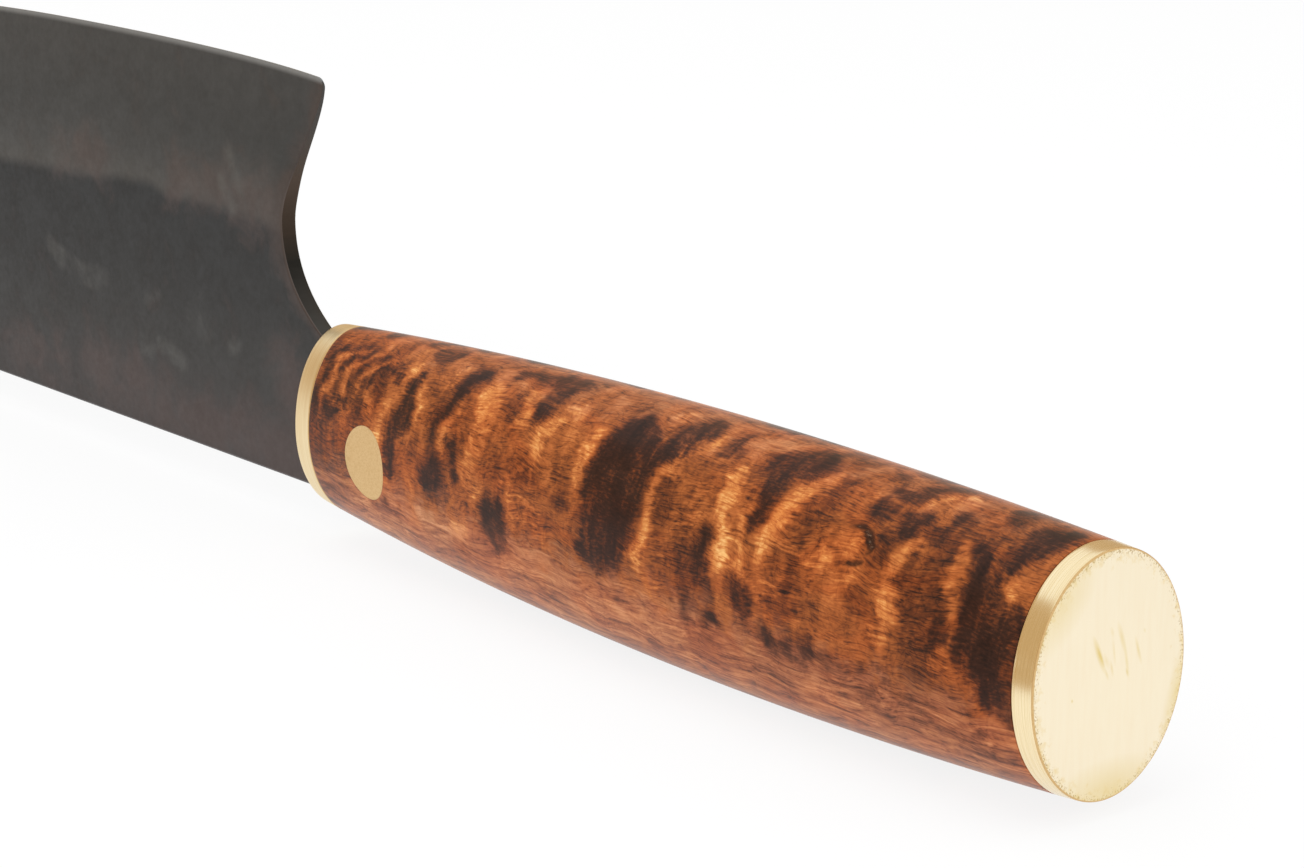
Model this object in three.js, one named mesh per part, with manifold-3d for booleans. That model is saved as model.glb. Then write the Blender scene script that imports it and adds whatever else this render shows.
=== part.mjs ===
// Santoku knife with a hidden tang: a forged blade, a one-piece oval wooden handle and two brass plates.
// Millimetres. +X runs towards the butt, +Z towards the cutting edge, and the blade's flats face +Y and -Y.
// While it is being built, x is counted from the front face of the front plate, so the handle lies at x > 0
// and the blade at x < 0, and heights are counted from the handle's axis.
import * as THREE from 'three';
import { mergeVertices } from 'three/addons/utils/BufferGeometryUtils.js';
import Module from 'manifold-3d';

const wasm = await Module();
wasm.setup();

// Handle, plates included: an oval barrel given by its sections at the front, the middle and the butt.
// A rise is measured from the axis towards the cutting edge, a drop towards the spine.
const handleLength = 115;
const frontSection = { width: 12.7, rise: 10.8, drop: 9.7 };
const middleSection = { width: 19.8, rise: 12.9, drop: 12.8 };
const buttSection = { width: 18.5, rise: 11.1, drop: 11.1 };
const frontPlateThickness = 3.2;
const endPlateThickness = 2.4;

// Pin through the wood and the tang
const pinDiameter = 8;
const pinFromFront = 15.3;
const pinBelowAxis = 0.7;

// Blade outline, as distances ahead of the front plate and heights above the handle's axis
const bladeLength = 170; // heel corner to tip
const edgeRise = 39.1; // cutting edge at its highest
const crownAhead = 58; // where the edge is highest
const heelRise = 37.3; // edge line carried back to the plate
const heelEase = 15; // how soon the edge levels out from the heel
const edgeEase = 125; // how far the edge runs level before it sweeps to the tip
const spineDrop = 8.5;
const spineStraight = 108; // length of the straight spine
const spineEase = 42; // how far the spine's line leads into the nose
const tipRise = 28;
const noseFall = 18; // steep end of the nose above the tip
const noseLean = 6; // how far that end leans back
const tipHeight = 1; // blunt end of the point

// Choil, the finger hollow between the heel and the handle
const heelAhead = 2.4;
const heelCornerEase = 3.8; // straight stretch below the heel corner
const choilDepth = 10.2; // deepest point, ahead of the plate
const choilRise = 20.7; // height of the deepest point
const choilEaseUp = 4.7;
const choilEaseDown = 8.6;
const neckRise = 7.6; // where the hollow runs out against the plate
const neckEase = 1.1;

// Blade section
const bladeThickness = 2;
const bevelWidth = 19.1; // ground bevel, edge to the line where the flat begins
const edgeThickness = 0.3;
const tipThickness = 0.8;
const taperStart = 0.6; // share of the blade with parallel flats, before it thins towards the tip

// Tang and the resin that beds it in the wood
const tangBesidePin = 2; // steel left above and below the pin
const tangRoot = 8; // how far the tang's outline is carried into the blade
const tangEndHeight = 7;
const woodBehindTang = 34;
const resinWall = 0.9;

// Dowels that hold the end plate
const dowelDiameter = 3;
const dowelFromAxis = 6;
const dowelInWood = 10;
const brassOverDowel = 0.9;

// Clearance between a piece and the hole it sits in
const gap = 0.3;

// Fineness of the round forms
const barrelSides = 48;
const barrelStep = 8;
const roundSides = 28;
const bladeStations = 30;
const choilSteps = 12;
const through = 40; // reach of a cut that runs right through

// Places along the knife that several pieces share
const woodStart = frontPlateThickness;
const woodEnd = handleLength - endPlateThickness;
const tangEnd = woodEnd - woodBehindTang;
const taperFrom = pinFromFront + pinDiameter / 2 + tangBesidePin; // where the tang starts to narrow
const tangHeight = pinDiameter + 2 * tangBesidePin;
const tipAhead = heelAhead + bladeLength;
const beddingReach = gap + resinWall; // from the tang's skin to the outside of the resin
const slotReach = beddingReach + gap; // from the tang's skin to the wood

// Solids and geometries
function toSolid(geometry) {
  const bare = geometry.clone();
  bare.deleteAttribute('normal');
  bare.deleteAttribute('uv');
  const merged = mergeVertices(bare, 1e-5);
  const vertProperties = new Float32Array(merged.attributes.position.array);
  const triVerts = new Uint32Array(merged.index.array);
  return new wasm.Manifold(new wasm.Mesh({ numProp: 3, vertProperties, triVerts }));
}

function toGeometry(solid) {
  const mesh = solid.getMesh();
  const geometry = new THREE.BufferGeometry();
  geometry.setAttribute('position', new THREE.BufferAttribute(mesh.vertProperties, 3));
  geometry.setIndex(new THREE.BufferAttribute(mesh.triVerts, 1));
  const faceted = geometry.toNonIndexed();
  faceted.computeVertexNormals();
  return faceted;
}

// Closed skin over a row of rings, each the same number of points, capped with a fan at both ends
function loft(rings) {
  const count = rings[0].length;
  const points = rings.flat();
  const faces = [];
  for (let ring = 0; ring < rings.length - 1; ring += 1) {
    for (let side = 0; side < count; side += 1) {
      const next = (side + 1) % count;
      const here = ring * count;
      const there = here + count;
      faces.push(here + side, there + next, here + next);
      faces.push(here + side, there + side, there + next);
    }
  }
  const last = (rings.length - 1) * count;
  for (let side = 1; side < count - 1; side += 1) {
    faces.push(0, side, side + 1);
    faces.push(last, last + side + 1, last + side);
  }
  const geometry = new THREE.BufferGeometry().setFromPoints(points);
  geometry.setIndex(faces);
  return toSolid(geometry);
}

// Plate with an outline in the blade's plane, centred on it
function slab(outline, thickness) {
  const geometry = new THREE.ExtrudeGeometry(new THREE.Shape(outline), {
    depth: thickness,
    bevelEnabled: false,
  });
  geometry.translate(0, 0, -thickness / 2);
  geometry.rotateX(Math.PI / 2);
  return toSolid(geometry);
}

function rod(radius, length) {
  return new THREE.CylinderGeometry(radius, radius, length, roundSides);
}

// Rod across the handle, where the pin goes
function crossRod(radius, length) {
  return toSolid(rod(radius, length).translate(pinFromFront, 0, -pinBelowAxis));
}

// Rod along the handle, from one place to another
function longRod(radius, from, to, rise) {
  const geometry = rod(radius, to - from).rotateZ(Math.PI / 2);
  return toSolid(geometry.translate((from + to) / 2, 0, rise));
}

// Barrel of the handle: each size runs through its three values on a parabola
function swell(size, x) {
  const share = x / handleLength;
  return (
    frontSection[size] * (1 - share) * (1 - 2 * share) +
    middleSection[size] * 4 * share * (1 - share) +
    buttSection[size] * share * (2 * share - 1)
  );
}

function barrelRing(x) {
  const ring = [];
  for (let side = 0; side < barrelSides; side += 1) {
    const angle = (2 * Math.PI * side) / barrelSides;
    const height = Math.sin(angle) > 0 ? swell('rise', x) : swell('drop', x);
    ring.push(new THREE.Vector3(x, (-swell('width', x) / 2) * Math.cos(angle), height * Math.sin(angle)));
  }
  return ring;
}

function barrel(from, to) {
  const steps = Math.ceil((to - from) / barrelStep);
  const rings = [];
  for (let step = 0; step <= steps; step += 1) {
    rings.push(barrelRing(from + ((to - from) * step) / steps));
  }
  return loft(rings);
}

// Point of an outline, from its distance ahead of the plate and its height above the axis
function at(ahead, rise) {
  return new THREE.Vector2(-ahead, rise);
}

// Blade blank: spine, bevel line and edge run side by side from the plate to the tip
function bladeBlank() {
  const edge = new THREE.CurvePath();
  const crown = at(crownAhead, edgeRise);
  const tip = at(tipAhead, tipRise);
  edge.add(new THREE.QuadraticBezierCurve(at(0, heelRise), at(heelEase, edgeRise), crown));
  edge.add(new THREE.QuadraticBezierCurve(crown, at(edgeEase, edgeRise), tip));

  const spine = new THREE.CurvePath();
  const noseStart = at(spineStraight, -spineDrop);
  const noseEnd = at(tipAhead, tipRise - tipHeight);
  const noseLead = at(spineStraight + spineEase, -spineDrop);
  const noseTurn = at(tipAhead - noseLean, tipRise - noseFall);
  spine.add(new THREE.LineCurve(at(0, -spineDrop), noseStart));
  spine.add(new THREE.CubicBezierCurve(noseStart, noseLead, noseTurn, noseEnd));

  const bevelShare = bevelWidth / (edgeRise + spineDrop);
  const rings = [];
  for (let station = bladeStations; station >= 0; station -= 1) {
    const along = station / bladeStations;
    const edgePoint = edge.getPointAt(along);
    const spinePoint = spine.getPointAt(along);
    const bevelPoint = edgePoint.clone().lerp(spinePoint, bevelShare);
    const thinned = Math.max(0, (along - taperStart) / (1 - taperStart));
    const flat = THREE.MathUtils.lerp(bladeThickness, tipThickness, thinned) / 2;
    const thin = edgeThickness / 2;
    rings.push([
      new THREE.Vector3(spinePoint.x, -flat, spinePoint.y),
      new THREE.Vector3(bevelPoint.x, -flat, bevelPoint.y),
      new THREE.Vector3(edgePoint.x, -thin, edgePoint.y),
      new THREE.Vector3(edgePoint.x, thin, edgePoint.y),
      new THREE.Vector3(bevelPoint.x, flat, bevelPoint.y),
      new THREE.Vector3(spinePoint.x, flat, spinePoint.y),
    ]);
  }
  return loft(rings);
}

// What the choil takes away, from over the heel corner down to the neck
function choilCut() {
  const deepest = at(choilDepth, choilRise);
  const heel = at(heelAhead, heelRise);
  const heelDown = at(heelAhead, heelRise - heelCornerEase);
  const upper = new THREE.CubicBezierCurve(heel, heelDown, at(choilDepth, choilRise + choilEaseUp), deepest);
  const neck = at(0, neckRise);
  const neckLead = at(neckEase, neckRise + neckEase);
  const lower = new THREE.CubicBezierCurve(deepest, at(choilDepth, choilRise - choilEaseDown), neckLead, neck);
  const outline = [...upper.getPoints(choilSteps), ...lower.getPoints(choilSteps).slice(1)];
  outline.push(at(-through, neckRise), at(-through, edgeRise + through), at(heelAhead, edgeRise + through));
  return slab(outline, through);
}

// Tang, grown on every side by a reach: level as far as the pin, then tapered to its end in the wood
function tangSpace(from, reach) {
  const front = tangHeight / 2 + reach;
  const end = tangEndHeight / 2 + reach;
  const outline = [
    new THREE.Vector2(from, -pinBelowAxis - front),
    new THREE.Vector2(taperFrom, -pinBelowAxis - front),
    new THREE.Vector2(tangEnd + reach, -pinBelowAxis - end),
    new THREE.Vector2(tangEnd + reach, -pinBelowAxis + end),
    new THREE.Vector2(taperFrom, -pinBelowAxis + front),
    new THREE.Vector2(from, -pinBelowAxis + front),
  ];
  return slab(outline, bladeThickness + 2 * reach);
}

// Blade and tang, forged in one piece
function blade() {
  const pinHole = crossRod(pinDiameter / 2 + gap, through);
  const body = bladeBlank().subtract(choilCut());
  return body.add(tangSpace(-tangRoot, 0)).subtract(pinHole);
}

// Brass plate at the front of the handle, slotted for the tang
function frontPlate() {
  return barrel(0, woodStart).subtract(tangSpace(-through, gap));
}

// Dowels and their holes, as rods at the same two heights
function dowel(rise, clearance) {
  const inPlate = endPlateThickness - brassOverDowel - gap;
  const from = woodEnd - dowelInWood - clearance;
  return longRod(dowelDiameter / 2 + clearance, from, woodEnd + inPlate + clearance, rise);
}

function dowelHoles() {
  return dowel(dowelFromAxis, gap).add(dowel(-dowelFromAxis, gap));
}

// Wooden barrel with the tang slot, the pin bore and the dowel holes
function handleBlock() {
  const pinBore = crossRod(pinDiameter / 2 + gap, through);
  const slot = tangSpace(-through, slotReach);
  return barrel(woodStart, woodEnd).subtract(slot).subtract(pinBore).subtract(dowelHoles());
}

// Cured resin round the tang, from the plate to the end of the slot
function tangBedding() {
  const outside = tangSpace(woodStart, beddingReach);
  const pinBore = crossRod(pinDiameter / 2 + gap, through);
  return outside.subtract(tangSpace(-through, gap)).subtract(pinBore);
}

// Brass pin, dressed flush with the wood on both flanks
function handlePin() {
  return crossRod(pinDiameter / 2, through).intersect(barrel(woodStart, woodEnd));
}

function endPlate() {
  return barrel(woodEnd, handleLength).subtract(dowelHoles());
}

// Finishes
const forgedSteel = new THREE.MeshStandardMaterial({ color: 0x4a4744, roughness: 0.5, metalness: 0.8 });
const satinBrass = new THREE.MeshStandardMaterial({ color: 0xd2b476, roughness: 0.35, metalness: 1 });
const figuredWood = new THREE.MeshStandardMaterial({ color: 0x8a4f2b, roughness: 0.45, metalness: 0 });
const curedResin = new THREE.MeshStandardMaterial({ color: 0xcdb98a, roughness: 0.3, metalness: 0 });

const pieces = [
  ['blade', blade(), forgedSteel],
  ['front_plate', frontPlate(), satinBrass],
  ['handle_block', handleBlock(), figuredWood],
  ['handle_pin', handlePin(), satinBrass],
  ['end_plate', endPlate(), satinBrass],
  ['tang_bedding', tangBedding(), curedResin],
  ['end_plate_dowel_upper', dowel(dowelFromAxis, 0), satinBrass],
  ['end_plate_dowel_lower', dowel(-dowelFromAxis, 0), satinBrass],
];

const knife = new THREE.Group();
for (const [name, solid, material] of pieces) {
  const mesh = new THREE.Mesh(toGeometry(solid), material);
  mesh.name = name;
  knife.add(mesh);
}

// The origin is under the middle of the knife, at its lowest point
const box = new THREE.Box3().setFromObject(knife);
const middle = box.getCenter(new THREE.Vector3());
knife.position.set(-middle.x, -middle.y, -box.min.z);

export default knife;
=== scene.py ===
import math

import bmesh
import bpy
import numpy as np
from mathutils import Matrix, Vector


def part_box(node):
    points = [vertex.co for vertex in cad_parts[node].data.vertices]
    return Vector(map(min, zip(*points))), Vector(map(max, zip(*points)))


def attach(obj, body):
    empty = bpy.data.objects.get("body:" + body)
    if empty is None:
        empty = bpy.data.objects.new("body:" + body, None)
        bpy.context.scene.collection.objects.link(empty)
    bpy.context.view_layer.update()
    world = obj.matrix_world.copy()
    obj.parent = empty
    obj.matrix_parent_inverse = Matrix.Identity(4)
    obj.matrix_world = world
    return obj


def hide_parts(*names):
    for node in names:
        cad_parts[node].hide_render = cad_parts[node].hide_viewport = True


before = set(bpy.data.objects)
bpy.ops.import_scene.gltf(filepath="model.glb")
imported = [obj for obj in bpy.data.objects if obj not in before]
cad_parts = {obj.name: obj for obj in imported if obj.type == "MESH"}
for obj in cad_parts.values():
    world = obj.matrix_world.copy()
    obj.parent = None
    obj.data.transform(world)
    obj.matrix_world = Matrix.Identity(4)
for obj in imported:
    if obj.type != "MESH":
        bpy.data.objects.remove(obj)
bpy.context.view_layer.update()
mm = 0.001

# Places that the frame gives, along the handle from the front plate's face to the butt
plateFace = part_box("front_plate")[0].x
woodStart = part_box("front_plate")[1].x
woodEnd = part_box("end_plate")[0].x
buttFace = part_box("end_plate")[1].x
pinLow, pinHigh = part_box("handle_pin")
pinCentre = (pinLow + pinHigh) / 2
pinBelowAxis = 0.7
axisHeight = pinCentre.z + pinBelowAxis * mm
print("frame: handle", round((buttFace - plateFace) / mm, 1), "mm, axis at", round(axisHeight / mm, 2), "mm")


def linear(code):
    # sRGB hex to the linear colour that shader sockets take
    channels = [int(code[i:i + 2], 16) / 255 for i in (1, 3, 5)]
    return [c / 12.92 if c <= 0.04045 else ((c + 0.055) / 1.055) ** 2.4 for c in channels] + [1.0]


def setInputs(tree, node, inputs):
    # each input is given a value or the socket that feeds it
    for key, value in inputs.items():
        named = [s for s in node.inputs if s.enabled and s.name == key]
        socket = named[0] if named else node.inputs[key]
        if isinstance(value, bpy.types.NodeSocket):
            tree.links.new(value, socket)
        else:
            socket.default_value = value


def addNode(tree, kind, inputs=None, out=None, stops=None, **settings):
    # one node with its settings, its inputs and a ramp's stops; gives back an output
    node = tree.nodes.new(kind)
    for name, value in settings.items():
        setattr(node, name, value)
    setInputs(tree, node, inputs or {})
    if stops:
        ramp = node.color_ramp.elements
        while len(ramp) < len(stops):
            ramp.new(0.5)
        for element, (position, colour) in zip(ramp, stops):
            element.position = position
            element.color = linear(colour)
    return [s for s in node.outputs if s.enabled and out in (None, s.name)][0]


def newFinish(name):
    finish = bpy.data.materials.new(name)
    finish.use_nodes = True
    return finish, finish.node_tree, finish.node_tree.nodes["Principled BSDF"]


def newObject(name, shape):
    mesh = bpy.data.meshes.new(name)
    shape.to_mesh(mesh)
    shape.free()
    made = bpy.data.objects.new(name, mesh)
    bpy.context.scene.collection.objects.link(made)
    return made


def finishPiece(name, shape, finishes, replaced, sharpAngle=35):
    bmesh.ops.recalc_face_normals(shape, faces=shape.faces)
    piece = newObject(name, shape)
    for finish in finishes:
        piece.data.materials.append(finish)
    piece.data.set_sharp_from_angle(angle=math.radians(sharpAngle))
    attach(piece, "root")
    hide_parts(replaced)
    print("piece:", name, len(piece.data.polygons), "faces")
    return piece


def cutAway(piece, shape, sharpAngle=35):
    # takes a closed shape out of a piece for good
    bmesh.ops.recalc_face_normals(shape, faces=shape.faces)
    cutter = newObject("cutter", shape)
    cut = piece.modifiers.new("cut", "BOOLEAN")
    cut.object = cutter
    cut.solver = "EXACT"
    graph = bpy.context.evaluated_depsgraph_get()
    piece.data = bpy.data.meshes.new_from_object(piece.evaluated_get(graph))
    piece.modifiers.clear()
    piece.data.set_sharp_from_angle(angle=math.radians(sharpAngle))
    bpy.data.objects.remove(cutter)


def addBox(shape, low, high):
    place = Matrix.Translation((low + high) / 2) @ Matrix.Diagonal((*(high - low), 1))
    bmesh.ops.create_cube(shape, size=1, matrix=place)


def addRod(shape, start, end, radius, sides=96):
    run = end - start
    place = Matrix.Translation((start + end) / 2) @ run.to_track_quat("Z", "Y").to_matrix().to_4x4()
    bmesh.ops.create_cone(shape, cap_ends=True, segments=sides, radius1=radius, radius2=radius,
                          depth=run.length, matrix=place)


# The handle's barrel: an oval whose width, rise and drop swell from front to middle to butt (mm)
handleBarrel = {"width": (12.7, 19.8, 18.5), "rise": (10.8, 12.9, 11.1), "drop": (9.7, 12.8, 11.1),
                "sides": 192}


def barrelSize(part, x):
    front, middle, butt = handleBarrel[part]
    s = (x - plateFace) / (buttFace - plateFace)
    return mm * (front * (1 - s) * (1 - 2 * s) + 4 * middle * s * (1 - s) + butt * s * (2 * s - 1))


# Camera at the photograph's viewing angle, in mm and degrees; its frame is 1304 by 868
photoCamera = {"place": (317.24, -191.32, 97.39), "azimuth": 50.778, "elevation": 14.027, "roll": 0.242,
               "lens": 88.34, "sensor": 36, "nearClip": 10}

camera = bpy.data.objects.new("photoCamera", bpy.data.cameras.new("photoCamera"))
camera.data.sensor_width = photoCamera["sensor"]
camera.data.lens = photoCamera["lens"]
camera.data.clip_start = photoCamera["nearClip"] * mm
aim = Matrix.Rotation(math.radians(photoCamera["azimuth"]), 4, "Z")
aim = aim @ Matrix.Rotation(math.radians(90 - photoCamera["elevation"]), 4, "X")
aim = aim @ Matrix.Rotation(math.radians(photoCamera["roll"]), 4, "Z")
camera.matrix_world = Matrix.Translation(Vector(photoCamera["place"]) * mm) @ aim
bpy.context.scene.collection.objects.link(camera)
bpy.context.scene.camera = camera
print("camera: right", [round(x, 4) for x in aim.col[0][:3]])

# Drawn marks are paths of points (along, up, half width in mm), each path with a strength. Depths inside
# them are in mm, and a weak mark is cut off at a depth that its strength gives
markForm = {"clear": -4, "solidFrom": 0.6, "solidGain": 3, "leastStep": 1e-9}


def depthInMarks(along, up, marks, upUnit=1):
    # how many mm each point lies inside the marks, a weak mark less deep than it is wide
    depth = np.full(len(along), float(markForm["clear"]))
    for path, strength in marks:
        deepest = (strength - markForm["solidFrom"]) * markForm["solidGain"]
        for start, end in zip(path, path[1:] or path):
            stepX = end[0] - start[0]
            stepY = (end[1] - start[1]) * upUnit
            offX = along - start[0]
            offY = up - start[1] * upUnit
            apart = max(stepX ** 2 + stepY ** 2, markForm["leastStep"])
            share = np.clip((offX * stepX + offY * stepY) / apart, 0, 1)
            inside = start[2] + (end[2] - start[2]) * share
            inside -= np.hypot(offX - share * stepX, offY - share * stepY)
            depth = np.maximum(depth, np.minimum(inside, deepest))
    return depth


def vertexPlaces(piece):
    places = np.empty(len(piece.data.vertices) * 3)
    piece.data.vertices.foreach_get("co", places)
    return places.reshape(-1, 3).T


def storeOnVertices(piece, name, values):
    piece.data.attributes.new(name, "FLOAT", "POINT").data.foreach_set("value", values)


# Blackened carbon steel, forged, ground on the edge side and left to darken. The eye sees a satin
# near-black, a little lighter and warmer up to a wandering line, darkest just past it, with rust-brown
# clouds by the line, round the hollow and towards the spine, wiped smudges, fine grinding along the blade
# and a thin honed edge.
steelFinish = {
    "ground": [(0.0, "#4d4e4f"), (0.5, "#464747"), (0.8, "#4b4b4a"), (1.0, "#555350")],
    "forged": [(0.0, "#323334"), (0.3, "#383838"), (0.6, "#424140"), (1.0, "#494443")],
    "groundRust": "#5a524f", "forgedRust": "#574d4b", "rustFade": (-3.5, 3),
    # the arris colour is a painted highlight where the hollow's arris catches the light
    "smudge": "#6a6966", "edge": "#8d9092", "arris": "#6b625e", "hollowRust": "#574a45",
    # the line: mm ahead of the front plate, mm from the edge
    "line": [(0, 19.4), (26, 19.2), (35.5, 19.6), (38.6, 18.9), (50, 19.5), (58, 20), (76, 20.5),
             (110, 19), (175, 9)],
    "lineSoftness": 0.9, "height": 47.6,
    # size in mm, detail and distortion
    "noises": {"wander": (9, 3, 0), "clouds": (5, 5, 0.6), "wisps": (7, 6, 1.5), "grit": (0.7, 4, 0)},
    # the noise that frays what is drawn, and by how many mm
    "fray": {"pastLine": ("wander", 0.6), "rust": ("clouds", 14), "smudge": ("wisps", 3.2),
             "fromHollow": ("clouds", 10)},
    # what lies over the rest: mm where it starts, mm where it is full, and its strength
    "over": {"hollowRust": (3.5, 0, 0.6), "smudge": (-1, 1.6, 0.65), "arris": (0.4, 0, 0.5),
             "edge": (0.8, 0.1, 1)},
    "mottleLength": 2.2, "mottleRise": 1.8, "mottleSpread": (0.25, 0.75), "mottleShade": (0.89, 1.11),
    "forgedCalm": 0.5, "grindLength": 12, "grindWidth": 0.3, "reliefStrength": 0.2, "reliefDepth": 0.02,
    "roughSpread": (-0.3, 0.3), "rough": (0.4, 0.54), "metallic": 0.85,
    "shade": [(5, 1.12), (75, 0.86)],  # mm ahead, how light the forged side is there
    "turnAbout": 88,  # the far side has the drawn wear turned end for end about the middle of this length
}
smudgeMarks = [
    ([(21, 27.2, 0.7), (20.3, 26.2, 0.6)], 0.9), ([(19.6, 25, 0.7), (18.9, 23.8, 1)], 1),
    ([(22.8, 23.5, 0.9), (22.2, 22.7, 0.7)], 0.8), ([(21, 22, 0.6), (20.4, 20.9, 0.8)], 0.95),
    ([(63.4, 10.4, 0.6), (59.5, 8.7, 0.9), (56.3, 7.9, 1.1), (52.6, 7.8, 1.2), (49.6, 8.4, 0.6)], 0.55),
    ([(41.5, 1.5, 0.5), (39.5, 1.6, 0.6)], 0.5),
    ([(40.2, 7.1, 0.4), (37.6, 8.2, 0.4)], 0.6),
    ([(37.6, 2.1, 0.6), (34.8, 1.7, 0.7), (32.1, 0.9, 0.8)], 0.75),
    ([(21.3, 4.5, 0.6), (20, 5.2, 0.5)], 0.75), ([(28, 7, 2.5)], 0.35), ([(44, 3.5, 3)], 0.3),
]
rustMarks = [
    ([(59.6, 22.5, 2), (50.2, 23.2, 1.8)], 0.6), ([(32.2, 22.4, 2), (25.1, 22.4, 2), (14, 22.5, 2.5)], 1),
    ([(74, -4.9, 2), (62.3, -4.2, 2.2)], 0.5),
    ([(53.4, -3.4, 3), (45, -3.8, 3.2), (36.8, -4.5, 2.8)], 1.1),
    ([(33.4, -5.8, 2.6), (22.3, -5.6, 3), (9, -6, 3.5)], 1.4),
    ([(11.1, 5.1, 1.6), (10.4, 3, 1.8), (5, -1, 3)], 1),
]


def blackenedSteel():
    finish, tree, skin = newFinish("blackenedCarbonSteelGround")
    use = steelFinish
    place = addNode(tree, "ShaderNodeTexCoord", out="Object")
    inMm = addNode(tree, "ShaderNodeMapping", {
        "Vector": place, "Scale": (1000, 1000, 1000), "Location": (-plateFace / mm, 0, 0)})
    noises = {}
    for name, (size, detail, distortion) in use["noises"].items():
        noise = addNode(tree, "ShaderNodeTexNoise", {
            "Vector": inMm, "Scale": 1 / size, "Detail": detail, "Roughness": 0.6, "Distortion": distortion})
        noises[name] = addNode(tree, "ShaderNodeMath", {0: noise, 1: 0.5}, operation="SUBTRACT")
    # what is drawn on the blade has ragged outlines, the honed edge apart
    drawn = {"fromEdge": addNode(tree, "ShaderNodeAttribute", out="Fac", attribute_name="fromEdge")}
    ragged = {}
    for name, (noise, reach) in use["fray"].items():
        drawn[name] = addNode(tree, "ShaderNodeAttribute", out="Fac", attribute_name=name)
        ragged[name] = addNode(tree, "ShaderNodeMath", {0: noises[noise], 1: reach, 2: drawn[name]},
                               operation="MULTIPLY_ADD")
    past = addNode(tree, "ShaderNodeMapRange", {
        "Value": ragged["pastLine"], "From Min": -use["lineSoftness"], "From Max": use["lineSoftness"]},
        interpolation_type="SMOOTHSTEP")
    # the forged side is a little lighter by the handle
    along = addNode(tree, "ShaderNodeSeparateXYZ", {"Vector": inMm}, out="X")
    (firstAhead, firstShade), (lastAhead, lastShade) = use["shade"]
    shade = addNode(tree, "ShaderNodeMapRange", {
        "Value": along, "From Min": -firstAhead, "From Max": -lastAhead,
        "To Min": firstShade, "To Max": lastShade})
    first, last = use["rustFade"]
    rust = addNode(tree, "ShaderNodeMapRange", {
        "Value": ragged["rust"], "From Min": first, "From Max": last}, interpolation_type="SMOOTHSTEP")
    reach = use["line"][0][1]
    sides = {}
    for name, first, last in (("ground", -reach, 0), ("forged", 0, use["height"] - reach)):
        across = addNode(tree, "ShaderNodeMapRange", {
            "Value": ragged["pastLine"], "From Min": first, "From Max": last})
        plain = addNode(tree, "ShaderNodeValToRGB", {"Fac": across}, stops=use[name])
        if name == "forged":
            plain = addNode(tree, "ShaderNodeHueSaturation", {"Color": plain, "Value": shade})
        sides[name] = addNode(tree, "ShaderNodeMix", {
            "Factor": rust, "A": plain, "B": linear(use[name + "Rust"])}, data_type="RGBA")
    colour = addNode(tree, "ShaderNodeMix", {"Factor": past, "A": sides["ground"], "B": sides["forged"]},
                     data_type="RGBA")
    # fine mottling, fainter on the forged side
    mottle = addNode(tree, "ShaderNodeMapping", {
        "Vector": inMm, "Scale": (1 / use["mottleLength"], 1 / use["mottleRise"], 1 / use["mottleRise"])})
    mottle = addNode(tree, "ShaderNodeTexNoise", {
        "Vector": mottle, "Scale": 1, "Detail": 4, "Roughness": 0.6})
    first, last = use["mottleSpread"]
    darkest, lightest = use["mottleShade"]
    mottle = addNode(tree, "ShaderNodeMapRange", {
        "Value": mottle, "From Min": first, "From Max": last, "To Min": darkest, "To Max": lightest})
    mottled = addNode(tree, "ShaderNodeHueSaturation", {"Color": colour, "Value": mottle})
    calm = addNode(tree, "ShaderNodeMath", {0: past, 1: use["forgedCalm"]}, operation="MULTIPLY")
    colour = addNode(tree, "ShaderNodeMix", {"Factor": calm, "A": mottled, "B": colour}, data_type="RGBA")
    # over that: rust creeping in from the hollow, wiped smudges, a painted highlight along the hollow's
    # arris and the honed edge
    sources = {"hollowRust": ragged["fromHollow"], "smudge": ragged["smudge"],
               "arris": drawn["fromHollow"], "edge": drawn["fromEdge"]}
    for name, (first, last, most) in use["over"].items():
        share = addNode(tree, "ShaderNodeMapRange", {
            "Value": sources[name], "From Min": first, "From Max": last, "To Max": most},
            interpolation_type="SMOOTHSTEP")
        colour = addNode(tree, "ShaderNodeMix", {"Factor": share, "A": colour, "B": linear(use[name])},
                         data_type="RGBA")
    # grinding lines run along the blade, over a finer grit
    grinding = addNode(tree, "ShaderNodeMapping", {
        "Vector": inMm, "Scale": (1 / use["grindLength"], 1 / use["grindWidth"], 1 / use["grindWidth"])})
    grinding = addNode(tree, "ShaderNodeTexNoise", {"Vector": grinding, "Scale": 1, "Detail": 3})
    relief = addNode(tree, "ShaderNodeMath", {0: grinding, 1: noises["grit"]}, operation="ADD")
    bump = addNode(tree, "ShaderNodeBump", {
        "Height": relief, "Strength": use["reliefStrength"], "Distance": use["reliefDepth"] * mm})
    gritty = addNode(tree, "ShaderNodeMath", {0: noises["clouds"], 1: noises["grit"]}, operation="ADD")
    first, last = use["roughSpread"]
    smooth, dull = use["rough"]
    rough = addNode(tree, "ShaderNodeMapRange", {
        "Value": gritty, "From Min": first, "From Max": last, "To Min": smooth, "To Max": dull})
    setInputs(tree, skin, {
        "Base Color": colour, "Roughness": rough, "Normal": bump, "Metallic": use["metallic"]})
    return finish


# Filed steel in the finger hollow, rubbed smooth, with faint file marks across the thickness. Its colour by
# height is painted light: a warm painted highlight under the heel, painted shade near-black in its depth,
# grey at the neck
choilFinishAndPaintedLight = {
    "rise": [(0.0, "#494843"), (0.2, "#332f2a"), (0.36, "#1a1710"), (0.5, "#372b20"), (0.72, "#4e4035"),
             (1.0, "#4b4845")],
    "neck": 7, "heel": 34, "markSpacing": 0.5, "markStretch": 8, "markDrift": 0.05,
    "reliefStrength": 0.25, "reliefDepth": 0.02, "metallic": 0.7, "rough": 0.5,
}


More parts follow.
